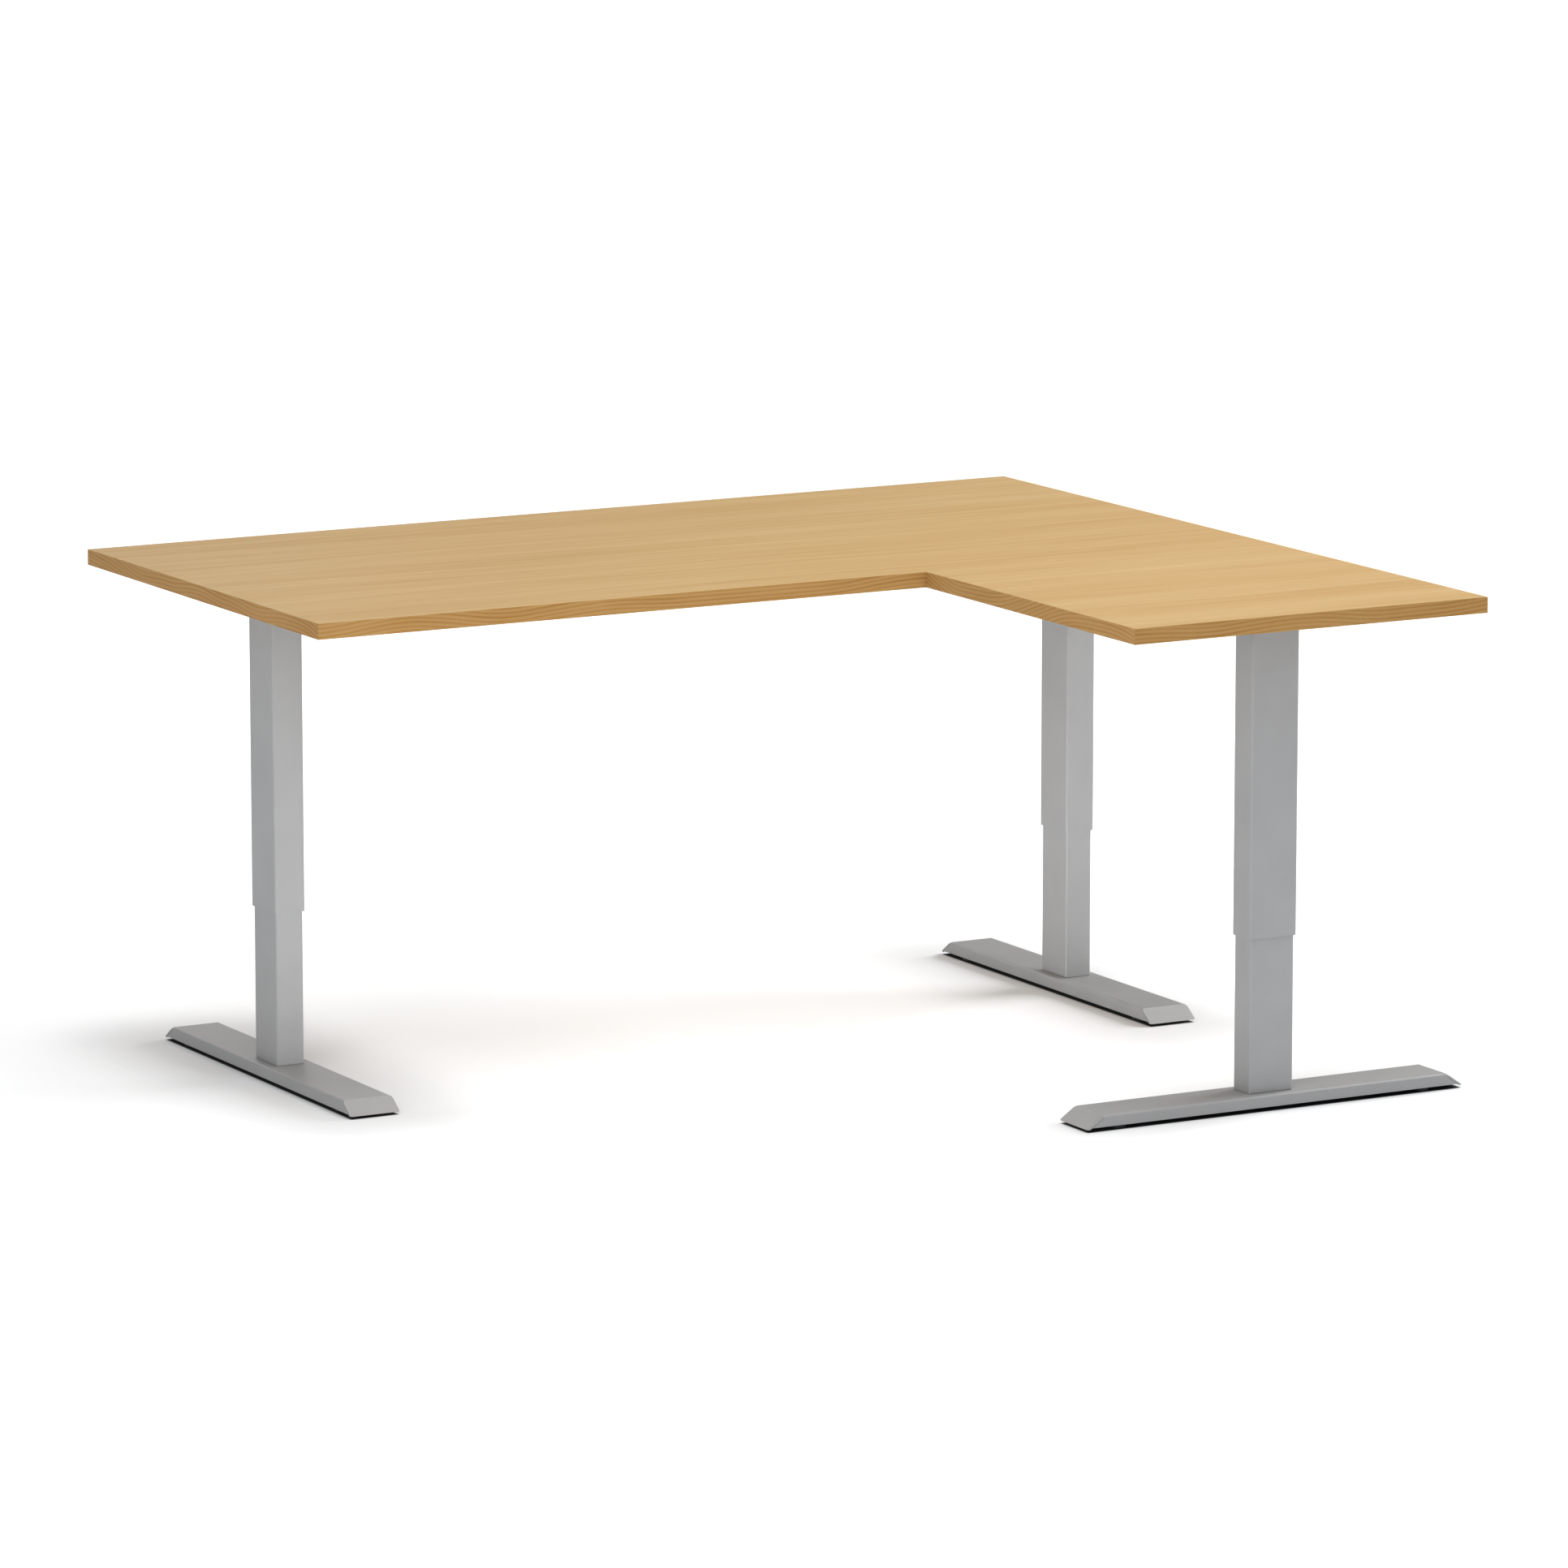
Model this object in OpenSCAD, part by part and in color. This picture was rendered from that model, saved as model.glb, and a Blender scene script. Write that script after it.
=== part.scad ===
// Height adjustable L-shaped desk.
// One beech-faced worktop stands on three motor driven telescopic legs, each on a flat steel foot.
// Millimetres. X runs along the main worktop, Y to its back edge, Z up from the floor.
// The origin is on the floor, under the middle of the desk's overall box.

/* [Worktop] */
// Length of the main worktop
top_w = 1600; // [1400:10:2000]
// Depth of the main worktop
main_d = 800; // [660:10:960]
// Width of the return, measured along the main worktop
return_w = 600; // [500:10:800]
// Distance the return runs out in front of the main worktop
return_d = 600; // [500:10:800]
// Thickness of the board with its facing
top_t = 24; // [20:1:32]
// Thickness of the edge band
band_t = 2; // [1:0.5:3]
// Radius of the rounded edges of the band
arris = 1; // [0.5:0.1:1]
// Height of the top face above the floor in the position shown
desk_h = 750; // [620:5:900]

/* [Leg places] */
// Centre of the left leg from the left edge
left_inset = 122; // [90:1:200]
// Centre of the corner leg from the right edge
corner_inset = 117; // [90:1:200]
// Centre of the return leg from the front edge of the return
return_inset = 124; // [90:1:200]

/* [Foot] */
// Overall length of a foot
foot_l = 646; // [540:2:780]
// Width of a foot
foot_w = 80; // [70:1:100]
// Height of the foot's top face above the floor
foot_top = 24; // [20:0.5:32]
// Thickness of the foot's steel sheet
foot_t = 3; // [2:0.5:4]
// Length of floor covered by each sloping end
foot_slope = 28; // [20:1:40]
// Height of the sloping end's lower edge above the floor
flap_gap = 4.5; // [3:0.5:6]
// Height of the side walls' lower edge above the floor
side_gap = 6.5; // [5:0.5:8]
// Outside radius of the bends along the foot
foot_bend = 5; // [3.5:0.5:8]
// Radius of the sloping end's lower corners
flap_r = 4; // [2:0.5:8]
// Width of the slit between a sloping end and a side wall
flap_slit = 0.5; // [0.3:0.1:1]

/* [Glides] */
// Diameter of a levelling glide's pad
glide_d = 24; // [18:1:30]
// Thickness of a glide's pad
glide_h = 5; // [4:0.5:7]
// Centre of a glide from the end of the foot
glide_end = 62; // [45:1:90]
// Distance between the two glides at one end
glide_pitch = 44; // [36:1:50]
// Thread diameter of a glide
glide_thread = 8; // [6:1:10]
// Height of a glide's hexagon
glide_hex_h = 4; // [3:0.5:6]
// Thickness of the bar that the glides screw into
glide_bar_t = 4; // [3:0.5:6]

/* [Columns] */
// Long side of the outer tube, along the foot
outer_d = 80; // [76:1:100]
// Short side of the outer tube, across the foot
outer_w = 50; // [46:1:62]
// Length of the outer tube
outer_len = 468; // [390:1:562]
// Wall of all three tubes
tube_wall = 1.5; // [1.2:0.1:2]
// Outside corner radius of all three tubes
tube_r = 3.5; // [3:0.5:6]
// Gap from one tube to the next on each side
stage_gap = 1; // [0.8:0.1:1.6]
// Thickness of the plate welded into the foot of the inner tube
base_plate_t = 8; // [6:1:12]
// Distance the outer tube can go down from the position shown
travel_down = 100; // [60:5:110]
// Least overlap of the outer and middle tubes
overlap_outer = 130; // [100:5:160]
// Least overlap of the middle and inner tubes
overlap_inner = 155; // [120:5:200]

/* [Slides and screws] */
// Height of the slide lining at the lower end of a tube
liner_h = 40; // [25:1:60]
// Thickness of a guide's cap on the end of a tube
cap_t = 3; // [2:0.5:4]
// Depth of a guide's plug inside a tube
plug_h = 25; // [18:1:35]
// Height of a guide's skirt outside a tube
skirt_h = 30; // [20:1:45]
// Diameter of the drive screw
drive_d = 10; // [8:0.5:11]
// Outside diameter of the hollow screw
hollow_d = 16; // [14:0.5:20]
// Diameter of the collars that hold the hollow screw
collar_d = 24; // [20:1:30]
// Height of each of those collars
collar_h = 4; // [3:0.5:6]
// Length of the nut in the top of the hollow screw
drive_nut_h = 20; // [15:1:30]
// Length of the nut in the top of the inner tube
lower_nut_h = 40; // [30:1:50]
// Diameter of the boss round the lower nut
nut_boss_d = 30; // [24:1:34]
// Length of screw that stays in its nut at full height
thread_grip = 20; // [12:1:25]

/* [Drive] */
// Diameter of the motor
motor_d = 38; // [32:1:46]
// Length of the motor
motor_len = 112; // [90:1:140]
// Distance of the motor's axis from the column's axis
motor_off = 12; // [8:1:16]
// Diameter of the motor's neck through the tube wall
neck_d = 24; // [18:1:28]
// Gearbox wall above and below the motor
gear_wall = 10; // [6:1:14]

/* [Frame] */
// Length of an arm under the worktop
arm_l = 500; // [420:5:600]
// Gap between the column and an arm's flange
arm_gap = 2.5; // [1:0.5:6]
// Height of an arm
arm_h = 15; // [13:1:20]
// Thickness of an arm's sheet
arm_t = 2.5; // [2:0.5:3]
// Width of a rail
rail_w = 25; // [20:1:30]
// Height of a rail
rail_h = 18; // [16:1:24]
// Wall of a rail
rail_wall = 1.5; // [1.2:0.1:2]
// Gap between the motor and the arm's flange or a rail's end plate
motor_room = 1.5; // [1:0.5:6]
// Width of the plate on the end of a rail
rail_plate_w = 45; // [42:1:50]
// Thickness of the plate on the end of a rail and of the corner plate
plate_t = 3; // [2:0.5:4]

/* [Controls] */
// Length of the control box
box_l = 260; // [200:5:320]
// Height of the control box
box_h = 33; // [28:1:40]
// Width of the handset
handset_w = 130; // [100:1:160]
// Depth of the handset
handset_d = 55; // [45:1:70]
// Height of the handset
handset_h = 14; // [12:0.5:18]
// Distance of the handset behind the front edge
handset_back = 100; // [20:5:140]
// Distance of the handset's socket from the middle of the control box
handset_side = 95; // [60:5:95]
// Width of a push button
button_w = 20; // [14:1:26]
// Height of a push button
button_h = 7; // [5:0.5:8]
// Distance a button stands out of the handset
button_out = 1.8; // [1.5:0.1:3]
// Diameter of a lead
lead_d = 5; // [4:0.5:6]
// Depth of a lead's centre below the worktop
lead_drop = 9; // [8:0.5:10]

/* [Hidden] */
$fn = 48;
// Cutting shapes run past the faces they cut by this much
cut = 1;
// Gap between faces that slide on each other
run_gap = 0.3;
// Gap round a shaft in its bore or a screw in its thread
thread_gap = 0.05;
// Clearance of a screw in a plain hole, on the radius
hole_gap = 0.4;
// Gap left at a stop before two stages meet
stop_gap = 1;
// Gap between the middle tube and the foot
foot_gap = 0.6;
// Gap between the gearbox and the tube round it
gear_gap = 0.5;
// Gap round the motor's neck in the tube wall
neck_gap = 1;
// Gap round a lead in a socket and in a hole through a rail
lead_room = 1;
lead_hole_room = 2;
// Length of thread that stands out past a frame bolt's nut or wall
bolt_end = 1;

// Screw sizes: shank diameter, head diameter, head height
column_screw = [6, 12, 3];
gear_screw = [5, 8.5, 3];
frame_screw = [5, 8, 3];
wood_screw = [4, 9, 2.4];
// Depth that a wood screw reaches into the board
wood_bite = 16;
// Places of the column screws on the foot
column_screw_u = 24;
column_screw_v = 12;
// Places of the gearbox screws
gear_screw_u = 32;
gear_screw_v = 17;
// Places of the wood screws on an arm
arm_screw_end = 25;
arm_screw_step = 100;
arm_screw_v = 12;
// Reach of the corner plate along the return rails
corner_out = 110;
// Width of the corner plate outside the rails, and its chamfer
plate_margin = 10;
plate_chamfer = 20;
// Places of its bolts in front of the main rail, the first on that rail
corner_bolts = [-rail_w / 2, 45, 90];

// Outline of the worktop in the row's frame
overall_x = max(top_w, top_w - return_w / 2 + foot_l / 2);
overall_y = main_d + return_d;
left_x = -overall_x / 2;
right_x = left_x + top_w;
notch_x = right_x - return_w;
back_y = overall_y / 2;
notch_y = back_y - main_d;
front_y = notch_y - return_d;

// Legs in the order left, corner, return
LEGS = ["left", "corner", "return"];
main_leg_y = back_y - main_d / 2;
leg_x = [left_x + left_inset, right_x - corner_inset, right_x - return_w / 2];
leg_y = [main_leg_y, main_leg_y, front_y + return_inset];
leg_turn = [-90, 90, 0];

// Heights
top_z = desk_h - top_t;
web_z = top_z - arm_t;
outer_z = web_z - outer_len;
motor_z = web_z - gear_gap - motor_d / 2;
gear_h = motor_d + 2 * gear_wall;
gear_z = web_z - gear_h;
middle_z = foot_top + foot_gap;
head_stack = max(gear_screw[2] + cap_t, cap_t + run_gap + collar_h);
middle_top = gear_z - travel_down - head_stack - stop_gap;
inner_top = middle_top - plug_h - run_gap - collar_h - stop_gap - cap_t;
travel_outer = middle_top - outer_z - overlap_outer;
travel_inner = inner_top - middle_z - overlap_inner;
hollow_top = middle_top + cap_t + run_gap + collar_h;
hollow_z = inner_top + cap_t - thread_grip - travel_inner;
drive_z = hollow_top - thread_grip - travel_outer;
// The drive screw's bore stops this far below the motor's axis
drive_stop = 2;
drive_depth = gear_wall + motor_d / 2 - drive_stop;
rail_z = top_z - rail_h;
lead_z = top_z - lead_drop;

// Arms and rails: the arm's channel takes the column, and the motor passes between the rails
arm_w = outer_w + 2 * (arm_gap + arm_t);
rail_pitch = 2 * (motor_off + motor_d / 2 + motor_room) + rail_plate_w;
rail_bolt_v = (rail_w + rail_plate_w) / 4;

// Tube sections, long side first
tube_step = 2 * (tube_wall + stage_gap);
middle_d = outer_d - tube_step;
middle_w = outer_w - tube_step;
inner_d = middle_d - tube_step;
inner_w = middle_w - tube_step;
bore_r = tube_r - tube_wall;

// Rails and controls
main_rail_x0 = leg_x[0] + arm_w / 2;
main_rail_x1 = leg_x[1] - arm_w / 2;
return_rail_y0 = leg_y[2] + arm_w / 2;
return_rail_y1 = main_leg_y - rail_pitch / 2 - rail_w / 2;
rail_clear = rail_pitch - rail_w;
box_gap = 2.5;
// Thickness and length of the box's screw ears
ear_t = 3;
ear_l = 16;
// Depth of a button's pocket, and distance between the two buttons
button_pocket = 8;
button_step = 34;
box_w = rail_clear - 2 * box_gap;
box_x = (main_rail_x0 + main_rail_x1) / 2;
box_z = top_z - box_h;
handset_x = box_x + handset_side;
handset_y = notch_y + handset_back;
handset_z = top_z - handset_h;
// The handset's screw heads sit this deep, and this far in from its sides and its back
handset_recess = 4;
handset_screw_in = [12, 14];
handset_screw_z = handset_z + handset_recess;
motor_end = outer_w / 2 + gear_gap + motor_len;
gland_len = 8;
lead_bend = 25;
// The return leg's lead enters the box beside the corner leg's, this far from the box's side
return_lead_in = 15;
return_lead_y = main_leg_y - box_w / 2 + return_lead_in;
return_lead_x = leg_x[2] + motor_off;
lead_hole_d = lead_d + 2 * lead_hole_room;

// Colours
beech = [0.78, 0.65, 0.46];
beech_edge = [0.72, 0.56, 0.35];
silver = [0.68, 0.68, 0.68];
zinc = [0.75, 0.76, 0.78];
black = [0.08, 0.08, 0.08];
acetal = [0.9, 0.9, 0.87];
graphite = [0.25, 0.25, 0.27];

LEG_PARTS = [
  "foot", "glides", "foot_screws", "inner_tube", "inner_guide",
  "middle_liner", "middle_tube", "middle_guide", "hollow_screw",
  "drive_screw", "outer_liner", "outer_tube", "gearbox", "motor", "arm"
];
TOP_PARTS = [
  "worktop", "edge_bands", "main_rails", "return_rails", "corner_plate", "frame_bolts", "top_screws",
  "control_box", "handset", "up_button", "down_button", "motor_leads", "handset_lead", "lead_clips"
];

// ---- Shapes used by several pieces ----

// Rectangle with round corners, centred
module rounded(w, d, r) {
  square([w - 2 * r, d], center = true);
  square([w, d - 2 * r], center = true);
  for (sx = [-1, 1], sy = [-1, 1])
    translate([sx * (w / 2 - r), sy * (d / 2 - r)]) circle(r);
}

// Upright bar with round corners, from height z
module bar(w, d, r, z, h) {
  translate([0, 0, z]) linear_extrude(h) rounded(w, d, r);
}

// Upright ring between two rounded rectangles, from height z
module ring(w, d, r, hole_w, hole_d, hole_r, z, h) {
  difference() {
    bar(w, d, r, z, h);
    bar(hole_w, hole_d, hole_r, z - cut, h + 2 * cut);
  }
}

// Upright cylinder, from height z
module post(d, z, h) {
  translate([0, 0, z]) cylinder(d = d, h = h);
}

// Places its children at the four corners of a rectangle
module at_corners(u, v) {
  for (su = [-1, 1], sv = [-1, 1]) translate([su * u, sv * v, 0]) children();
}

// Puts a leg's piece in its place: u along the foot is local X, the motor points along local Y
module at_leg(i) {
  translate([leg_x[i], leg_y[i], 0]) rotate([0, 0, leg_turn[i]]) children();
}

// Screw with its head below height z and its shank reaching up
module screw_up(kind, z, length) {
  post(kind[1], z - kind[2], kind[2]);
  post(kind[0], z - cut, length + cut);
}

// Cuts a hole for a screw, from below
module screw_hole(kind, gap, z, length) {
  post(kind[0] + 2 * gap, z - cut, length + 2 * cut);
}

// ---- Foot ----

// Prism with the foot's side profile, drawn in from the outside by inset
module foot_profile(inset, width, lower) {
  slope = atan2(foot_top - flap_gap, foot_slope);
  rise = foot_top - inset - lower;
  half = foot_l / 2 - inset / sin(slope) + (flap_gap - lower) / tan(slope);
  translate([0, width / 2, 0]) rotate([90, 0, 0]) linear_extrude(width)
    polygon([
      [-half, lower],
      [half, lower],
      [half - rise / tan(slope), lower + rise],
      [-half + rise / tan(slope), lower + rise]
    ]);
}

// Prism with the foot's cross-section: two bends along the top
module foot_section(inset, lower) {
  r = foot_bend - inset;
  top = foot_top - inset;
  half = foot_w / 2 - inset;
  translate([-foot_l / 2, 0, 0]) rotate([90, 0, 90]) linear_extrude(foot_l) {
    translate([-half, lower]) square([2 * half, top - r - lower]);
    translate([-half + r, lower]) square([2 * (half - r), top - lower]);
    for (s = [-1, 1]) translate([s * (half - r), top - r]) circle(r);
  }
}

// Solid between the profile and the section at one inset
module foot_solid(inset, lower) {
  intersection() {
    foot_profile(inset, foot_w, lower);
    foot_section(inset, lower);
  }
}

// Folded steel foot: side walls and sloping ends bent down from one sheet, with a bar for the glides
module foot() {
  glide_u = foot_l / 2 - glide_end;
  bar_z = glide_h + glide_hex_h;
  color(silver) difference() {
    union() {
      difference() {
        intersection() {
          foot_solid(0, flap_gap);
          bar(foot_l, foot_w, flap_r, 0, foot_top);
        }
        foot_solid(foot_t, flap_gap - cut);
        side_wall_trim();
        for (s = [-1, 1]) slits(s);
      }
      for (s = [-1, 1]) translate([s * glide_u - glide_d / 2, -foot_w / 2 + foot_t, bar_z])
        cube([glide_d, foot_w - 2 * foot_t, glide_bar_t]);
    }
    at_corners(glide_u, glide_pitch / 2) post(glide_thread + 2 * thread_gap, 0, foot_top - foot_t);
    at_corners(column_screw_u, column_screw_v)
      screw_hole(column_screw, hole_gap, foot_top - foot_t, foot_t);
  }
}

// Raises the lower edge of the side walls between the sloping ends
module side_wall_trim() {
  intersection() {
    foot_profile(foot_t, foot_w + 2 * cut, 0);
    translate([-foot_l / 2, -foot_w / 2 - cut, 0]) cube([foot_l, foot_w + 2 * cut, side_gap]);
  }
}

// Slit between the side walls and the sloping end on one side
module slits(s) {
  side = foot_t + cut;
  mid_v = (foot_w + side - foot_t) / 2;
  height = foot_top - foot_bend;
  intersection() {
    difference() {
      foot_profile(foot_t, foot_w + 2 * cut, 0);
      foot_profile(foot_t + flap_slit, foot_w + 4 * cut, -cut);
    }
    for (v = [-1, 1]) translate([(s - 1) * foot_l / 4, v * mid_v - side / 2, 0])
      cube([foot_l / 2, side, height]);
  }
}

// Four levelling glides: plastic pad, hexagon and threaded stem
module glides() {
  glide_u = foot_l / 2 - glide_end;
  pad_edge = 1;
  hex_d = glide_thread + 6;
  color(black) at_corners(glide_u, glide_pitch / 2) {
    rotate_extrude() polygon([
      [0, 0],
      [glide_d / 2 - pad_edge, 0],
      [glide_d / 2, pad_edge],
      [glide_d / 2, glide_h - pad_edge],
      [glide_d / 2 - 2 * pad_edge, glide_h],
      [0, glide_h]
    ]);
    translate([0, 0, glide_h]) cylinder(d = hex_d, h = glide_hex_h, $fn = 6);
    post(glide_thread, glide_h, foot_top - foot_t - glide_h - cut);
  }
}

// Four screws that hold the inner tube's base plate on the foot
module foot_screws() {
  z = foot_top - foot_t;
  color(zinc) at_corners(column_screw_u, column_screw_v)
    screw_up(column_screw, z, foot_t + base_plate_t - cut);
}

// ---- Column ----

// Rectangular steel tube standing from z to top
module tube(d, w, z, top) {
  ring(d, w, tube_r, d - 2 * tube_wall, w - 2 * tube_wall, bore_r, z, top - z);
}

// Inner tube with its welded base plate
module inner_tube() {
  color(silver) difference() {
    union() {
      tube(inner_d, inner_w, foot_top, inner_top);
      bar(inner_d - tube_wall, inner_w - tube_wall, bore_r, foot_top, base_plate_t);
    }
    at_corners(column_screw_u, column_screw_v)
      screw_hole(column_screw, thread_gap, foot_top, base_plate_t);
  }
}

// Plastic guide on the top end of a tube: cap, skirt that runs in the next tube, and plug
module guide(d, w, top) {
  skirt = 2 * (stage_gap - run_gap);
  loose = 2 * thread_gap;
  bar(d + skirt, w + skirt, tube_r - run_gap, top, cap_t);
  ring(d + skirt, w + skirt, tube_r - run_gap, d + loose, w + loose, tube_r, top - skirt_h, skirt_h);
  bar(d - 2 * tube_wall - loose, w - 2 * tube_wall - loose, bore_r, top - plug_h, plug_h);
}

// Guide with the nut for the hollow screw, on the inner tube
module inner_guide() {
  nut_z = inner_top + cap_t - lower_nut_h;
  color(acetal) difference() {
    union() {
      guide(inner_d, inner_w, inner_top);
      post(nut_boss_d, nut_z, lower_nut_h);
    }
    post(hollow_d + 2 * thread_gap, nut_z - cut, lower_nut_h + 2 * cut);
  }
}

// Guide that carries the hollow screw, on the middle tube
module middle_guide() {
  color(acetal) difference() {
    guide(middle_d, middle_w, middle_top);
    post(hollow_d + 2 * run_gap, middle_top - plug_h - cut, plug_h + cap_t + 2 * cut);
  }
}

// Slide lining inside the lower end of a tube, round the next smaller one
module liner(d, w, z) {
  hole = 2 * (stage_gap - run_gap);
  color(acetal) ring(d, w, bore_r, d - hole, w - hole, tube_r, z, liner_h);
}

module middle_liner() {
  liner(middle_d - 2 * tube_wall, middle_w - 2 * tube_wall, middle_z + cut);
}

module outer_liner() {
  liner(outer_d - 2 * tube_wall, outer_w - 2 * tube_wall, outer_z + cut);
}

module middle_tube() {
  color(silver) tube(middle_d, middle_w, middle_z, middle_top);
}

// Outer tube, with the hole for the motor's neck
module outer_tube() {
  color(silver) difference() {
    tube(outer_d, outer_w, outer_z, web_z);
    translate([motor_off, 0, motor_z]) rotate([-90, 0, 0])
      cylinder(d = neck_d + 2 * neck_gap, h = outer_w);
  }
}

// Hollow screw: turns in the middle guide, drives the lower nut and is a nut for the drive screw
module hollow_screw() {
  color(zinc) difference() {
    union() {
      post(hollow_d, hollow_z, hollow_top - hollow_z);
      post(collar_d, hollow_top - collar_h, collar_h);
      post(collar_d, middle_top - plug_h - run_gap - collar_h, collar_h);
    }
    post(drive_d + 2 * thread_gap, hollow_z - cut, hollow_top - hollow_z + 2 * cut);
    post(drive_d + 4 * run_gap, hollow_z - cut, hollow_top - drive_nut_h - hollow_z + cut);
  }
}

// Solid screw that hangs from the gearbox
module drive_screw() {
  color(zinc) {
    post(drive_d, drive_z, gear_z + drive_depth - run_gap - drive_z);
    translate([0, 0, drive_z - drive_d / 4]) cylinder(d1 = drive_d / 2, d2 = drive_d, h = drive_d / 4);
  }
}

// ---- Drive ----

// Worm gearbox that fills the top of the outer tube
module gearbox() {
  d = outer_d - 2 * tube_wall - 2 * gear_gap;
  w = outer_w - 2 * tube_wall - 2 * gear_gap;
  waist_step = 3;
  waist_d = d - 2 * waist_step;
  waist_w = w - 2 * waist_step;
  waist_h = 6;
  color(graphite) difference() {
    union() {
      bar(d, w, bore_r, gear_z, gear_wall);
      bar(d, w, bore_r, gear_z + gear_wall + waist_h, gear_h - gear_wall - waist_h);
      bar(waist_d, waist_w, bore_r, gear_z, gear_h);
    }
    post(drive_d + 2 * thread_gap, gear_z - cut, drive_depth + cut);
    at_corners(gear_screw_u, gear_screw_v) screw_hole(gear_screw, hole_gap, gear_z, gear_h);
  }
}

// Motor beside the column: neck, body with end bell, and gland for its lead
module motor() {
  face = outer_w / 2 - tube_wall - gear_gap;
  start = outer_w / 2 + gear_gap;
  bell_len = 22;
  bell_step = 1.5;
  gland_wall = 1.5;
  color(black) {
    translate([motor_off, face, motor_z]) rotate([-90, 0, 0]) cylinder(d = neck_d, h = start - face);
    translate([motor_off, start, motor_z]) rotate([-90, 0, 0]) {
      cylinder(d = motor_d - 2 * bell_step, h = motor_len);
      cylinder(d = motor_d, h = bell_len);
      translate([0, 0, motor_len - bell_len]) cylinder(d = motor_d, h = bell_len);
    }
    translate([motor_off, motor_end, lead_z]) rotate([-90, 0, 0])
      cylinder(d = lead_d + 2 * gland_wall, h = gland_len);
  }
}

// ---- Frame under the worktop ----

// Places of the bolts of two rails along an arm's flange
function rail_bolts() = [for (s = [-1, 1]) for (b = [-1, 1]) s * rail_pitch / 2 + b * rail_bolt_v];

// Places of the wood screws along an arm
function arm_screws() =
  [for (s = [-1, 1]) for (n = [0, 1]) s * (arm_l / 2 - arm_screw_end - n * arm_screw_step)];

// Folded arm: web under the worktop, two flanges with sloping ends, cut away for the motor
module arm() {
  flange_z = top_z - arm_h;
  slope = arm_h - arm_t;
  notch = motor_d + 2 * motor_room;
  color(silver) difference() {
    translate([0, arm_w / 2, 0]) rotate([90, 0, 0]) linear_extrude(arm_w)
      polygon([
        [-arm_l / 2, top_z],
        [-arm_l / 2, web_z],
        [-arm_l / 2 + slope, flange_z],
        [arm_l / 2 - slope, flange_z],
        [arm_l / 2, web_z],
        [arm_l / 2, top_z]
      ]);
    translate([-arm_l / 2 - cut, -arm_w / 2 + arm_t, flange_z - cut])
      cube([arm_l + 2 * cut, arm_w - 2 * arm_t, arm_h - arm_t + cut]);
    translate([motor_off - notch / 2, 0, flange_z - cut])
      cube([notch, arm_w, arm_h - arm_t + cut]);
    for (u = rail_bolts()) translate([u, arm_w / 2 - arm_t - cut, rail_bolt_z()]) rotate([-90, 0, 0])
      cylinder(d = frame_screw[0] + 2 * thread_gap, h = arm_t + 2 * cut);
    for (u = arm_screws(), v = [-1, 1]) translate([u, v * arm_screw_v, 0])
      screw_hole(wood_screw, hole_gap, web_z, arm_t);
    at_corners(gear_screw_u, gear_screw_v) screw_hole(gear_screw, thread_gap, web_z, arm_t);
  }
}

// Height of the bolts through the rails' end plates
function rail_bolt_z() = top_z - arm_t - (arm_h - arm_t) / 2;

// Rail along local X from 0 to length: box tube with an end plate at each end
module rail(length) {
  plate_z = top_z - arm_h;
  difference() {
    union() {
      translate([plate_t, -rail_w / 2, rail_z]) cube([length - 2 * plate_t, rail_w, rail_h]);
      for (x = [0, length - plate_t])
        translate([x, -rail_plate_w / 2, plate_z]) cube([plate_t, rail_plate_w, arm_h]);
    }
    translate([plate_t + cut, -rail_w / 2 + rail_wall, rail_z + rail_wall])
      cube([length - 2 * plate_t - 2 * cut, rail_w - 2 * rail_wall, rail_h - 2 * rail_wall]);
    for (x = [0, length - plate_t], s = [-1, 1])
      translate([x - cut, s * rail_bolt_v, rail_bolt_z()]) rotate([0, 90, 0])
        cylinder(d = frame_screw[0] + 2 * hole_gap, h = plate_t + 2 * cut);
  }
}

// Bolts at both ends of a rail, heads against the end plates
module rail_bolt_set(length) {
  reach = plate_t + arm_t + bolt_end;
  for (s = [-1, 1]) {
    translate([plate_t, s * rail_bolt_v, rail_bolt_z()]) rotate([0, -90, 0])
      screw_up(frame_screw, 0, reach);
    translate([length - plate_t, s * rail_bolt_v, rail_bolt_z()]) rotate([0, 90, 0])
      screw_up(frame_screw, 0, reach);
  }
}

// Places its children at the left end of each main rail
module at_main_rails() {
  for (s = [-1, 1]) translate([main_rail_x0, main_leg_y + s * rail_pitch / 2, 0]) children();
}

// Places its children at the front end of each return rail, turned to run back
module at_return_rails() {
  for (s = [-1, 1]) translate([leg_x[2] + s * rail_pitch / 2, return_rail_y0, 0])
    rotate([0, 0, 90]) children();
}

// Hole through the front main rail, for a lead at x
module lead_hole(x) {
  translate([x, return_rail_y1 - cut, lead_z]) rotate([-90, 0, 0])
    cylinder(d = lead_hole_d, h = rail_w + 2 * cut);
}

// Two rails from the left leg to the corner leg
module main_rails() {
  color(silver) difference() {
    at_main_rails() rail(main_rail_x1 - main_rail_x0);
    lead_hole(return_lead_x);
    lead_hole(handset_x);
    for (b = rail_bolts()) translate([leg_x[2] + b, return_rail_y1 - cut, rail_bolt_z()])
      rotate([-90, 0, 0]) cylinder(d = frame_screw[0] + 2 * thread_gap, h = rail_wall + 2 * cut);
    corner_bolt_places() screw_hole(frame_screw, thread_gap, rail_z, rail_wall);
  }
}

// Two rails from the return leg to the front main rail
module return_rails() {
  color(silver) difference() {
    at_return_rails() rail(return_rail_y1 - return_rail_y0);
    corner_bolt_places() screw_hole(frame_screw, thread_gap, rail_z, rail_wall);
  }
}

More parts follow.
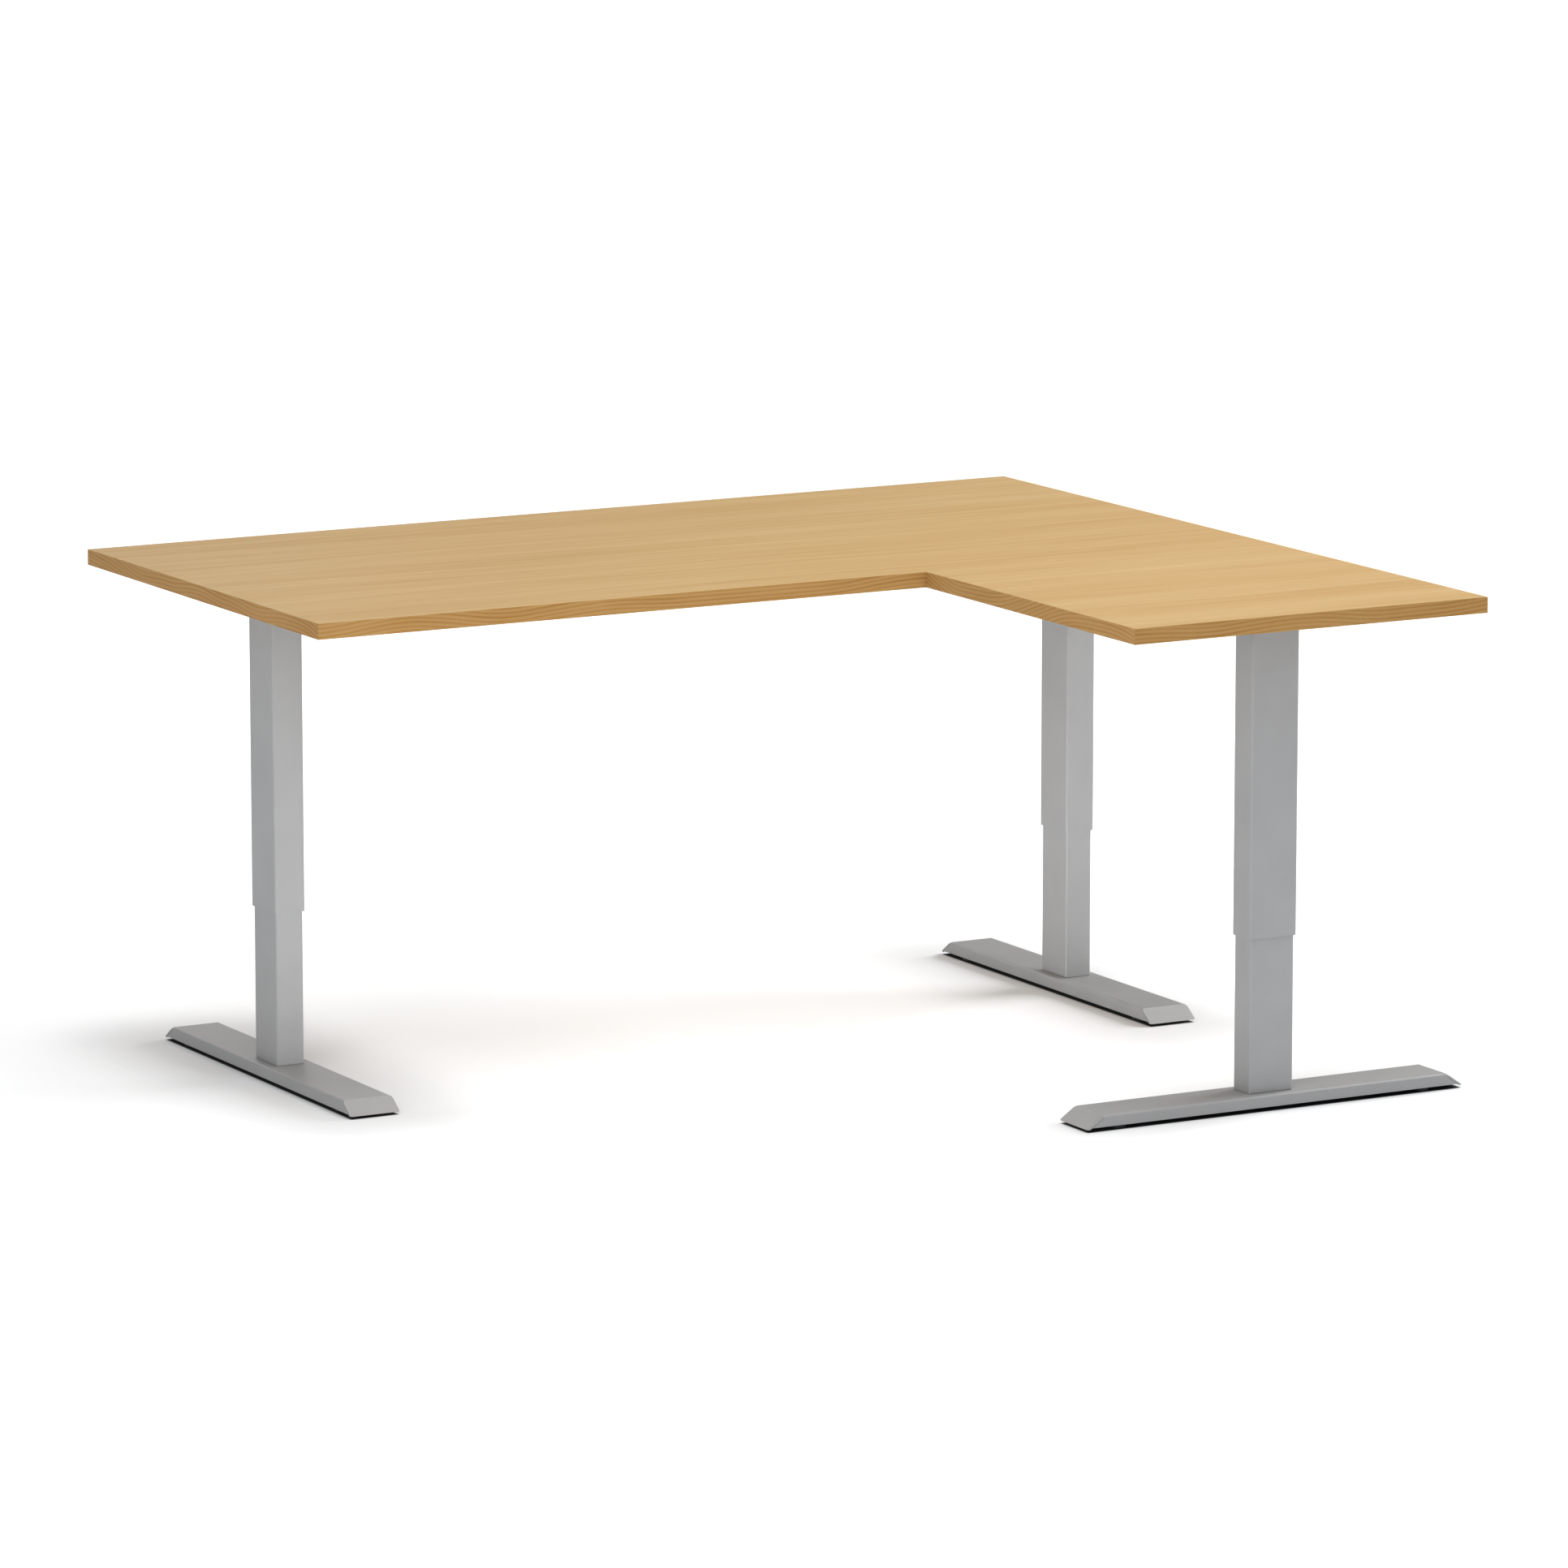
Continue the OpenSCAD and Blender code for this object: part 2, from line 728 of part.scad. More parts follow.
// Bolt places of the corner plate along each return rail, the first where it meets the main rail
module corner_bolt_places() {
  for (s = [-1, 1], out = corner_bolts)
    translate([leg_x[2] + s * rail_pitch / 2, return_rail_y1 - out, 0]) children();
}

// Plate under the front main rail and the ends of the return rails
module corner_plate() {
  half = rail_pitch / 2 + rail_w / 2 + plate_margin;
  y0 = return_rail_y1 - corner_out;
  y1 = return_rail_y1 + rail_w;
  color(silver) difference() {
    translate([leg_x[2], 0, rail_z - plate_t]) linear_extrude(plate_t)
      polygon([
        [-half + plate_chamfer, y0],
        [half - plate_chamfer, y0],
        [half, y0 + plate_chamfer],
        [half, y1],
        [-half, y1],
        [-half, y0 + plate_chamfer]
      ]);
    corner_bolt_places() screw_hole(frame_screw, hole_gap, rail_z - plate_t, plate_t);
  }
}

// All bolts of the frame: rail ends, corner plate and gearboxes
module frame_bolts() {
  color(zinc) {
    at_main_rails() rail_bolt_set(main_rail_x1 - main_rail_x0);
    at_return_rails() rail_bolt_set(return_rail_y1 - return_rail_y0);
    corner_bolt_places() screw_up(frame_screw, rail_z - plate_t, plate_t + rail_wall + bolt_end);
    for (i = [0 : len(LEGS) - 1]) at_leg(i)
      at_corners(gear_screw_u, gear_screw_v) screw_up(gear_screw, gear_z, gear_h + arm_t);
  }
}

// ---- Worktop ----

// Corners of the worktop drawn in by inset, clockwise from the front left
function outline(inset) = [
  [left_x + inset, notch_y + inset],
  [left_x + inset, back_y - inset],
  [right_x - inset, back_y - inset],
  [right_x - inset, front_y + inset],
  [notch_x + inset, front_y + inset],
  [notch_x + inset, notch_y + inset]
];

// Places of every wood screw that enters the board
module wood_screw_places() {
  for (i = [0 : len(LEGS) - 1]) at_leg(i)
    for (u = arm_screws(), v = [-1, 1]) translate([u, v * arm_screw_v, 0]) children();
  box_screw_places() children();
  handset_screw_places() children();
}

// Board with its facing and the pilot holes in its underside
module worktop() {
  color(beech) difference() {
    translate([0, 0, top_z]) linear_extrude(top_t) polygon(outline(band_t));
    wood_screw_places() screw_hole(wood_screw, thread_gap, top_z, wood_bite - 2 * cut);
  }
}

// Cross-section of a band: its outer face is at x = 0, with both edges rounded
module band_section() {
  translate([-2 * band_t, 0]) square([2 * band_t - arris, top_t]);
  translate([-band_t, arris]) square([band_t, top_t - 2 * arris]);
  for (z = [arris, top_t - arris]) translate([-arris, z]) circle(arris);
}

// Band along one side, longer than the side by the band's thickness at each end
module band_strip(from, to) {
  run = to - from;
  translate([from[0], from[1], top_z]) rotate([0, 0, atan2(run[1], run[0])])
    translate([-band_t, 0, 0]) rotate([90, 0, 90])
      linear_extrude(norm(run) + 2 * band_t) band_section();
}

// Six edge bands, mitred at the corners with a hairline between neighbours
module edge_bands() {
  hairline = 0.05;
  outer = outline(0);
  inner = outline(band_t);
  corners = len(outer);
  color(beech_edge) for (i = [0 : corners - 1]) {
    j = (i + 1) % corners;
    along = (outer[j] - outer[i]) / norm(outer[j] - outer[i]);
    intersection() {
      band_strip(outer[i], outer[j]);
      translate([0, 0, top_z]) linear_extrude(top_t)
        polygon([
          outer[i] + along * hairline,
          outer[j] - along * hairline,
          inner[j] - along * hairline,
          inner[i] + along * hairline
        ]);
    }
  }
}

// Wood screws through the arms, the control box's ears and the handset
module top_screws() {
  color(zinc) {
    for (i = [0 : len(LEGS) - 1]) at_leg(i)
      for (u = arm_screws(), v = [-1, 1]) translate([u, v * arm_screw_v, 0])
        screw_up(wood_screw, web_z, arm_t + wood_bite - 2 * cut);
    box_screw_places() screw_up(wood_screw, top_z - ear_t, ear_t + wood_bite - 2 * cut);
    handset_screw_places()
      screw_up(wood_screw, handset_screw_z, top_z - handset_screw_z + wood_bite - 2 * cut);
  }
}

// ---- Controls ----

module box_screw_places() {
  for (s = [-1, 1], v = [-1, 1])
    translate([box_x + s * (box_l / 2 + ear_l / 2), main_leg_y + v * box_w / 4, 0]) children();
}

// Control box: casing with ears, ribs, sockets for the leads and a mains inlet
module control_box() {
  shell_r = 4;
  rib = [2, 1];
  ribs = 9;
  rib_step = box_l / (ribs + 3);
  inlet = [22, 16, 12];
  socket_deep = 6;
  color(black) translate([box_x, main_leg_y, 0]) difference() {
    union() {
      bar(box_l, box_w, shell_r, box_z, box_h);
      for (s = [-1, 1]) translate([s * box_l / 2, 0, 0])
        bar(2 * ear_l, box_w, shell_r, top_z - ear_t, ear_t);
      for (n = [0 : ribs - 1])
        translate([(n - (ribs - 1) / 2) * rib_step - rib[0] / 2, -box_w / 2 + shell_r, box_z - rib[1]])
        cube([rib[0], box_w - 2 * shell_r, rib[1] + cut]);
    }
    translate([-box_x, -main_leg_y, 0]) box_screw_places()
      screw_hole(wood_screw, hole_gap, top_z - ear_t, ear_t);
    translate([-box_l / 2 - cut, box_w / 4 - inlet[0] / 2, box_z + (box_h - inlet[1]) / 2 - ear_t])
      cube([inlet[2] + cut, inlet[0], inlet[1]]);
    for (v = [-motor_off]) socket_cut(-1, v, socket_deep);
    for (v = [motor_off, return_lead_y - main_leg_y]) socket_cut(1, v, socket_deep);
    translate([handset_side, -box_w / 2 - cut, lead_z]) rotate([-90, 0, 0])
      cylinder(d = lead_d + 2 * lead_room, h = socket_deep + cut);
  }
}

// Socket in an end of the control box, at v across it
module socket_cut(side, v, deep) {
  translate([side * (box_l / 2 - deep), v, lead_z]) rotate([0, side * 90, 0])
    cylinder(d = lead_d + 2 * lead_room, h = deep + ear_l + cut);
}

module handset_screw_places() {
  for (s = [-1, 1])
    translate([
      handset_x + s * (handset_w / 2 - handset_screw_in[0]),
      handset_y + handset_d - handset_screw_in[1],
      0
    ]) children();
}

// Handset casing under the front of the worktop, with two button pockets in its front face
module handset() {
  shell_r = 5;
  gap = 2 * run_gap;
  socket_deep = 6;
  color(black) difference() {
    translate([handset_x, handset_y + handset_d / 2, 0])
      bar(handset_w, handset_d, shell_r, handset_z, handset_h);
    for (s = [-1, 1]) translate([
      handset_x + s * button_step / 2 - (button_w + gap) / 2,
      handset_y - cut,
      handset_z + (handset_h - button_h - gap) / 2
    ]) cube([button_w + gap, button_pocket + cut, button_h + gap]);
    handset_screw_places() {
      screw_hole(wood_screw, hole_gap, handset_z, handset_h);
      post(wood_screw[1] + 2 * hole_gap, handset_z - cut, handset_screw_z - handset_z + cut);
    }
    translate([handset_x, handset_y + handset_d - socket_deep, lead_z]) rotate([-90, 0, 0])
      cylinder(d = lead_d + 2 * lead_room, h = socket_deep + cut);
  }
}

// Push button: cap that slides in the handset's pocket
module button(s) {
  travel_room = 2.5;
  r = 2;
  deep = button_pocket - travel_room + button_out;
  x = handset_x + s * button_step / 2;
  color(silver) translate([x, handset_y - button_out, handset_z + handset_h / 2])
    rotate([-90, 0, 0]) linear_extrude(deep) rounded(button_w, button_h, r);
}

// Straight lead from one point to the next along X or Y, at the leads' height
module lead_run(from, to) {
  run = to - from;
  translate([from[0], from[1], lead_z]) rotate([0, 90, atan2(run[1], run[0])])
    cylinder(d = lead_d, h = norm(run));
}

// Leads from the three motors to the control box
module motor_leads() {
  deep = 5;
  start = motor_end + gland_len;
  box_left = box_x - box_l / 2 + deep;
  box_right = box_x + box_l / 2 - deep;
  color(black) {
    lead_run([leg_x[0] + start, main_leg_y - motor_off], [box_left, main_leg_y - motor_off]);
    lead_run([leg_x[1] - start, main_leg_y + motor_off], [box_right, main_leg_y + motor_off]);
    lead_run([return_lead_x, leg_y[2] + start], [return_lead_x, return_lead_y - lead_bend]);
    translate([return_lead_x - lead_bend, return_lead_y - lead_bend, lead_z])
      rotate_extrude(angle = 90) translate([lead_bend, 0]) circle(d = lead_d);
    lead_run([return_lead_x - lead_bend, return_lead_y], [box_right, return_lead_y]);
  }
}

// Lead from the handset to the control box
module handset_lead() {
  deep = 5;
  color(black) lead_run(
    [handset_x, handset_y + handset_d - deep],
    [handset_x, main_leg_y - box_w / 2 + deep]
  );
}

// Clip block under the worktop, round a lead that runs along local X
module clip(x, y, turn) {
  size = [10, 12, lead_drop + lead_d];
  translate([x, y, 0]) rotate([0, 0, turn]) difference() {
    translate([-size[0] / 2, -size[1] / 2, top_z - size[2]]) cube(size);
    translate([-size[0], 0, lead_z]) rotate([0, 90, 0])
      cylinder(d = lead_d + 2 * thread_gap, h = 2 * size[0]);
  }
}

// Clips that hold the leads to the underside of the worktop
module lead_clips() {
  left_from = leg_x[0] + motor_end;
  left_to = box_x - box_l / 2;
  right_from = box_x + box_l / 2;
  right_to = leg_x[1] - motor_end;
  run_from = leg_y[2] + motor_end;
  clips = 3;
  color(black) {
    for (n = [1 : clips]) {
      share = n / (clips + 1);
      clip(left_from + (left_to - left_from) * share, main_leg_y - motor_off, 0);
      clip(right_from + (right_to - right_from) * share, main_leg_y + motor_off, 0);
      clip(return_lead_x, run_from + (return_rail_y1 - run_from) * share, 90);
      clip(right_from + (return_lead_x - lead_bend - right_from) * share, return_lead_y, 0);
    }
    clip(handset_x, (handset_y + handset_d + return_rail_y1) / 2, 90);
  }
}

// ---- Pieces ----

for (i = [0 : len(LEGS) - 1]) at_leg(i) {
  foot();
  glides();
  foot_screws();
  inner_tube();
  inner_guide();
  middle_liner();
  middle_tube();
  middle_guide();
  hollow_screw();
  drive_screw();
  outer_liner();
  outer_tube();
  gearbox();
  motor();
  arm();
}
worktop();
edge_bands();
main_rails();
return_rails();
corner_plate();
frame_bolts();
top_screws();
control_box();
handset();
button(1);  // up_button
button(-1);  // down_button
motor_leads();
handset_lead();
lead_clips();
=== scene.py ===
import math

import bmesh
import bpy
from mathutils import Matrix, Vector


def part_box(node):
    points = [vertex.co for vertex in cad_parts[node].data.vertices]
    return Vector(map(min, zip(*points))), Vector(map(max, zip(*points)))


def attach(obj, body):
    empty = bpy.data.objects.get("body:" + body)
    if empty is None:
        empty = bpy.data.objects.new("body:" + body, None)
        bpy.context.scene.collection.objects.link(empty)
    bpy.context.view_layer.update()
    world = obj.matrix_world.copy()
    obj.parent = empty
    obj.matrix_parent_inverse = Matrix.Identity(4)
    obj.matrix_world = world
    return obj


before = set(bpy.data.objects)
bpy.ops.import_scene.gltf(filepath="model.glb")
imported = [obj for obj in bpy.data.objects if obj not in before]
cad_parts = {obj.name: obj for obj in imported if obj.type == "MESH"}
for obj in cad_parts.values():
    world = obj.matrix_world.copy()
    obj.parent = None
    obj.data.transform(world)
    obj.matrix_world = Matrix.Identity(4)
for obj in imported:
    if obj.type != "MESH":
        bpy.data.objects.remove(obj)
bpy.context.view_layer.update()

LEGS = ("left", "corner", "return")
MM = 0.001
# Radians that Blender's wave texture turns through in one metre at scale 1
WAVE_RATE = 20


# ---- Node graphs ----

class Finish:
    """One material, with short names for adding its nodes."""

    def __init__(self, name):
        self.material = bpy.data.materials.new(name)
        self.material.use_nodes = True
        self.tree = self.material.node_tree
        self.tree.nodes.clear()
        self.shader = self.tree.nodes.new("ShaderNodeBsdfPrincipled")
        output = self.tree.nodes.new("ShaderNodeOutputMaterial")
        self.link(self.shader.outputs["BSDF"], output.inputs["Surface"])
        place = self.tree.nodes.new("ShaderNodeTexCoord")
        self.place = place.outputs["Object"]
        self.normal = place.outputs["Normal"]

    def link(self, source, socket):
        self.tree.links.new(source, socket)

    def feed(self, socket, value):
        """Links an output to a socket, or sets a plain value on it."""
        if isinstance(value, bpy.types.NodeSocket):
            self.link(value, socket)
        elif isinstance(value, tuple) and len(value) < len(socket.default_value):
            socket.default_value = (*value, 1)
        else:
            socket.default_value = value

    def math(self, operation, *values, clamp=False):
        node = self.tree.nodes.new("ShaderNodeMath")
        node.operation = operation
        node.use_clamp = clamp
        for socket, value in zip(node.inputs, values):
            self.feed(socket, value)
        return node.outputs["Value"]

    def split(self, vector):
        node = self.tree.nodes.new("ShaderNodeSeparateXYZ")
        self.link(vector, node.inputs["Vector"])
        return node.outputs["X"], node.outputs["Y"], node.outputs["Z"]

    def join(self, x, y, z):
        node = self.tree.nodes.new("ShaderNodeCombineXYZ")
        for socket, value in zip(node.inputs, (x, y, z)):
            self.feed(socket, value)
        return node.outputs["Vector"]

    def scaled(self, vector, x, y, z):
        """The vector with each axis multiplied by its own number."""
        node = self.tree.nodes.new("ShaderNodeVectorMath")
        node.operation = "MULTIPLY"
        self.link(vector, node.inputs[0])
        node.inputs[1].default_value = (x, y, z)
        return node.outputs["Vector"]

    def noise(self, vector, detail, scale=1.0, roughness=0.5):
        node = self.tree.nodes.new("ShaderNodeTexNoise")
        self.link(vector, node.inputs["Vector"])
        node.inputs["Scale"].default_value = scale
        node.inputs["Detail"].default_value = detail
        node.inputs["Roughness"].default_value = roughness
        return node.outputs["Fac"]

    def waves(self, vector, pitch, distortion, detail_scale):
        """Soft bands across Z, one every pitch metres."""
        node = self.tree.nodes.new("ShaderNodeTexWave")
        node.bands_direction = "Z"
        self.link(vector, node.inputs["Vector"])
        node.inputs["Scale"].default_value = 2 * math.pi / (WAVE_RATE * pitch)
        node.inputs["Distortion"].default_value = distortion
        node.inputs["Detail Scale"].default_value = detail_scale
        return node.outputs["Fac"]

    def total(self, terms):
        """0.5 plus each weight times its value's distance from 0.5."""
        result = 0.5
        for weight, value in terms:
            part = self.math("MULTIPLY_ADD", value, weight, -0.5 * weight)
            result = self.math("ADD", part, result)
        return result

    def ramp(self, value, stops):
        """Colour ramp through (position, colour) stops."""
        node = self.tree.nodes.new("ShaderNodeValToRGB")
        self.link(value, node.inputs["Fac"])
        elements = node.color_ramp.elements
        while len(elements) < len(stops):
            elements.new(0.5)
        for element, (position, colour) in zip(elements, stops):
            element.position = position
            element.color = (*colour, 1)
        return node.outputs["Color"]

    def spread(self, value, low, high):
        """The value, from 0 to 1, mapped to low to high."""
        node = self.tree.nodes.new("ShaderNodeMapRange")
        self.link(value, node.inputs["Value"])
        node.inputs["To Min"].default_value = low
        node.inputs["To Max"].default_value = high
        return node.outputs["Result"]

    def span(self, value, given, wanted):
        """The value's range given, mapped smoothly to the range wanted."""
        node = self.tree.nodes.new("ShaderNodeMapRange")
        node.interpolation_type = "SMOOTHSTEP"
        for socket, number in zip(list(node.inputs)[:5], (value, *given, *wanted)):
            self.feed(socket, number)
        return node.outputs["Result"]

    def blend(self, share, first, second):
        node = self.tree.nodes.new("ShaderNodeMix")
        node.data_type = "RGBA"
        colours = [socket for socket in node.inputs if socket.type == "RGBA"]
        self.feed(node.inputs["Factor"], share)
        for socket, value in zip(colours, (first, second)):
            self.feed(socket, value)
        result = [socket for socket in node.outputs if socket.type == "RGBA"]
        return result[0]

    def bump(self, height, distance):
        node = self.tree.nodes.new("ShaderNodeBump")
        self.link(height, node.inputs["Height"])
        node.inputs["Distance"].default_value = distance
        return node.outputs["Normal"]

    def set(self, **values):
        """Sets or links the shader's sockets, named in lower case: base_color and so on."""
        inputs = self.shader.inputs
        sockets = {socket.name.lower().replace(" ", "_"): socket for socket in inputs}
        for name, value in values.items():
            self.feed(sockets[name], value)
        return self


def shade(colour, factor):
    return tuple(channel * factor for channel in colour)


# ---- Materials ----

BEECH = (0.417, 0.277, 0.124)
BEECH_EDGE = (0.365, 0.205, 0.068)
SILVER = (0.325, 0.327, 0.331)
# Beech tones from dark to light: place on the ramp, and factors on red, green and blue
TOP_TONES = (
    (0.20, (0.84, 0.77, 0.66)),
    (0.42, (0.97, 0.945, 0.90)),
    (0.58, (1.03, 1.045, 1.08)),
    (0.80, (1.11, 1.17, 1.30)),
)
EDGE_TONES = (
    (0.20, (0.80, 0.70, 0.60)),
    (0.45, (0.97, 0.95, 0.90)),
    (0.60, (1.04, 1.06, 1.12)),
    (0.85, (1.12, 1.20, 1.40)),
)
# Specular level of both beech finishes, and depth of their fibre
BEECH_GLOSS = 0.06
FIBRE_DEPTH = 0.06 * MM
# Noise value above which a fleck is a pore, and what a pore adds to the tone
PORE_LIMIT = 0.66
PORE_DARKENING = -0.07
# How far the grain wanders off its straight line, in metres
GRAIN_WANDER = 0.05
# Distance between growth rings on an edge band, in metres
RING_PITCH = 0.0062
# How far two slow noises lift the figure of an edge band, in metres
SWELL_LIFT = 0.10
LEAN_LIFT = 0.14
# How much more the figure slants on the sides that face X than on those that face Y
SIDE_SLANT = 2.2


def beech_figure(finish):
    """Tone of the flat beech decor, its grain along X: broad bands, streaks, fibre and pores.

    Each noise is scaled to its cells per metre along the grain and across it.
    """
    x, y, z = finish.split(finish.place)
    wander = finish.noise(finish.scaled(finish.place, 1.1, 2.6, 1), detail=2)
    y = finish.math("MULTIPLY_ADD", wander, GRAIN_WANDER, y)
    grain = finish.join(x, y, z)
    broad = finish.noise(finish.scaled(grain, 0.55, 9, 9), detail=2)
    streaks = finish.noise(finish.scaled(grain, 2.2, 60, 60), detail=4, roughness=0.6)
    fibre = finish.noise(finish.scaled(grain, 9, 520, 520), detail=3, roughness=0.65)
    flecks = finish.noise(finish.scaled(grain, 110, 1500, 1500), detail=1)
    pores = finish.math("GREATER_THAN", flecks, PORE_LIMIT)
    tone = finish.total([(0.55, broad), (0.75, streaks), (0.38, fibre)])
    return tone, pores, fibre


def tinted(colour, tones):
    """Ramp stops that tint a colour by each tone's factors."""
    return [
        (place, tuple(channel * factor for channel, factor in zip(colour, factors)))
        for place, factors in tones
    ]


def top_colour(finish):
    """Colour of the top decor, and its fibre for the gloss and the bump."""
    tone, pores, fibre = beech_figure(finish)
    darkened = finish.math("MULTIPLY_ADD", pores, PORE_DARKENING, tone, clamp=True)
    return finish.ramp(darkened, tinted(BEECH, TOP_TONES)), fibre


def beech_top():
    """Matt laminate facing with a straight beech figure."""
    finish = Finish("beech_top")
    colour, fibre = top_colour(finish)
    return finish.set(
        base_color=colour,
        roughness=finish.spread(fibre, 0.50, 0.62),
        normal=finish.bump(fibre, FIBRE_DEPTH),
        specular_ior_level=BEECH_GLOSS,
    ).material


def beech_edge():
    """Edge band: slanting flat-sawn figure along each side, the top decor on its upper face."""
    finish = Finish("beech_edge")
    x, y, z = finish.split(finish.place)
    facing_x, _, facing_z = finish.split(finish.normal)
    # 1 on the sides that face X, and 1 on the upper and lower faces
    side = finish.math("GREATER_THAN", finish.math("ABSOLUTE", facing_x), 0.5)
    up = finish.math("GREATER_THAN", finish.math("ABSOLUTE", facing_z), 0.5)
    # Y on the sides that face X, and X elsewhere
    along = finish.math("ADD", x, finish.math("MULTIPLY", side, finish.math("SUBTRACT", y, x)))
    # The slant changes slowly along the band, as in a flat-sawn strip
    track = finish.join(along, side, 0.0)
    swell = finish.noise(finish.scaled(track, 2.4, 7, 1), detail=1)
    lean = finish.noise(finish.scaled(track, 0.9, 5, 1), detail=0)
    slant = finish.spread(side, 1.0, SIDE_SLANT)
    height = z
    for drift, lift in ((swell, SWELL_LIFT), (lean, LEAN_LIFT)):
        slanted = finish.math("MULTIPLY", drift, slant)
        height = finish.math("MULTIPLY_ADD", slanted, lift, height)
    grain = finish.join(along, side, height)
    stretched = finish.scaled(grain, 1.5, 1, 1)
    rings = finish.waves(stretched, RING_PITCH, distortion=1.4, detail_scale=9)
    streaks = finish.noise(finish.scaled(grain, 5, 1, 170), detail=3, roughness=0.6)
    fibre = finish.noise(finish.scaled(grain, 30, 1, 1300), detail=2)
    broad = finish.noise(finish.scaled(track, 3.2, 9, 1), detail=2)
    tone = finish.total([(0.34, rings), (0.60, streaks), (0.25, fibre), (0.55, broad)])
    edge = finish.ramp(tone, tinted(BEECH_EDGE, EDGE_TONES))
    flat, _ = top_colour(finish)
    return finish.set(
        base_color=finish.blend(up, edge, flat),
        roughness=finish.spread(fibre, 0.42, 0.55),
        normal=finish.bump(fibre, FIBRE_DEPTH),
        specular_ior_level=BEECH_GLOSS,
    ).material


def powder_coat():
    """Silver powder coat: fine orange peel, small metal flakes and a faint unevenness."""
    finish = Finish("silver_powder_coat")
    peel = finish.noise(finish.place, scale=900, detail=2)
    flakes = finish.noise(finish.place, scale=4200, detail=1)
    cloud = finish.noise(finish.place, scale=14, detail=3)
    tone = finish.total([(0.35, flakes), (0.25, peel), (0.35, cloud)])
    colour = finish.ramp(tone, [(0.25, shade(SILVER, 0.90)), (0.75, shade(SILVER, 1.10))])
    return finish.set(
        base_color=colour,
        metallic=0.25,
        roughness=finish.spread(flakes, 0.44, 0.60),
        normal=finish.bump(peel, 0.04 * MM),
    ).material


def plated(name, colour, roughness, cells):
    """Plated or ground steel: a fine grain of the given cells per metre, and soft clouds."""
    finish = Finish(name)
    fine = finish.noise(finish.scaled(finish.place, *cells), detail=3, roughness=0.6)
    cloud = finish.noise(finish.place, scale=60, detail=3)
    tone = finish.total([(0.5, fine), (0.6, cloud)])
    return finish.set(
        base_color=finish.ramp(tone, [(0.25, shade(colour, 0.82)), (0.75, shade(colour, 1.12))]),
        metallic=1.0,
        roughness=finish.spread(tone, roughness - 0.1, roughness + 0.1),
        normal=finish.bump(fine, 0.02 * MM),
    ).material


def moulded(name, colour, grain, depth, roughness, sheen=0.0):
    """Moulded plastic or cast metal: a fine texture, its grain and depth in metres."""
    finish = Finish(name)
    texture = finish.noise(finish.place, scale=1 / grain, detail=3, roughness=0.6)
    cloud = finish.noise(finish.place, scale=22, detail=3)
    tone = finish.total([(0.5, texture), (0.5, cloud)])
    return finish.set(
        base_color=finish.ramp(tone, [(0.25, shade(colour, 0.84)), (0.75, shade(colour, 1.16))]),
        roughness=finish.spread(texture, roughness - 0.08, roughness + 0.08),
        normal=finish.bump(texture, depth),
        sheen_weight=sheen,
    ).material


# Plated finishes: colour, roughness, cells per metre along X, Y and Z. Moulded finishes:
# colour, grain, depth, roughness.
MATERIALS = {
    "beech_top": beech_top(),
    "beech_edge": beech_edge(),
    "silver_powder_coat": powder_coat(),
    "zinc_steel": plated("zinc_steel", (0.62, 0.63, 0.66), 0.36, (300, 300, 300)),
    "bright_steel": plated("bright_steel", (0.56, 0.56, 0.57), 0.24, (900, 900, 30)),
    "acetal": moulded("acetal", (0.80, 0.79, 0.75), 0.8 * MM, 0.01 * MM, 0.38),
    "cast_housing": moulded("cast_housing", (0.10, 0.10, 0.105), 1.2 * MM, 0.10 * MM, 0.55),
    "motor_black": moulded("motor_black", (0.028, 0.028, 0.030), 0.5 * MM, 0.02 * MM, 0.40),
    "black_plastic": moulded("black_plastic", (0.022, 0.022, 0.023), 0.6 * MM, 0.05 * MM, 0.52),
    "button_grey": moulded("button_grey", (0.30, 0.30, 0.31), 0.5 * MM, 0.02 * MM, 0.45),
    "lead_black": moulded(
        "lead_black", (0.020, 0.020, 0.020), 0.4 * MM, 0.02 * MM, 0.60, sheen=0.1
    ),
}
# Which pieces take each finish. A leg's pieces are named without the leg.
PIECES_IN = {
    "beech_top": ["worktop"],
    "beech_edge": ["edge_bands"],
    "silver_powder_coat": [
        "foot", "inner_tube", "middle_tube", "outer_tube",
        "arm", "main_rails", "return_rails", "corner_plate",
    ],
    "zinc_steel": ["foot_screws", "frame_bolts", "top_screws"],
    "bright_steel": ["hollow_screw", "drive_screw"],
    "acetal": ["inner_guide", "middle_guide", "middle_liner", "outer_liner"],
    "cast_housing": ["gearbox"],
    "motor_black": ["motor"],
    "black_plastic": ["glides", "control_box", "handset", "lead_clips"],
    "button_grey": ["up_button", "down_button"],
    "lead_black": ["motor_leads", "handset_lead"],
}
SLOT_OF = {piece: slot for slot, pieces in PIECES_IN.items() for piece in pieces}


# ---- CAD nodes ----

# Widths in millimetres of the rounding on moulded and cast pieces
SOFTENED = {
    "gearbox": 0.6,
    "control_box": 0.5,
    "handset": 0.5,
    "up_button": 0.5,
    "down_button": 0.5,
    "lead_clips": 0.2,
}
# Points closer than this are joined before the rounding
WELD_GAP = 0.005 * MM
# Edges that turn by more than this, in degrees, are rounded
SHARP_ANGLE = 40


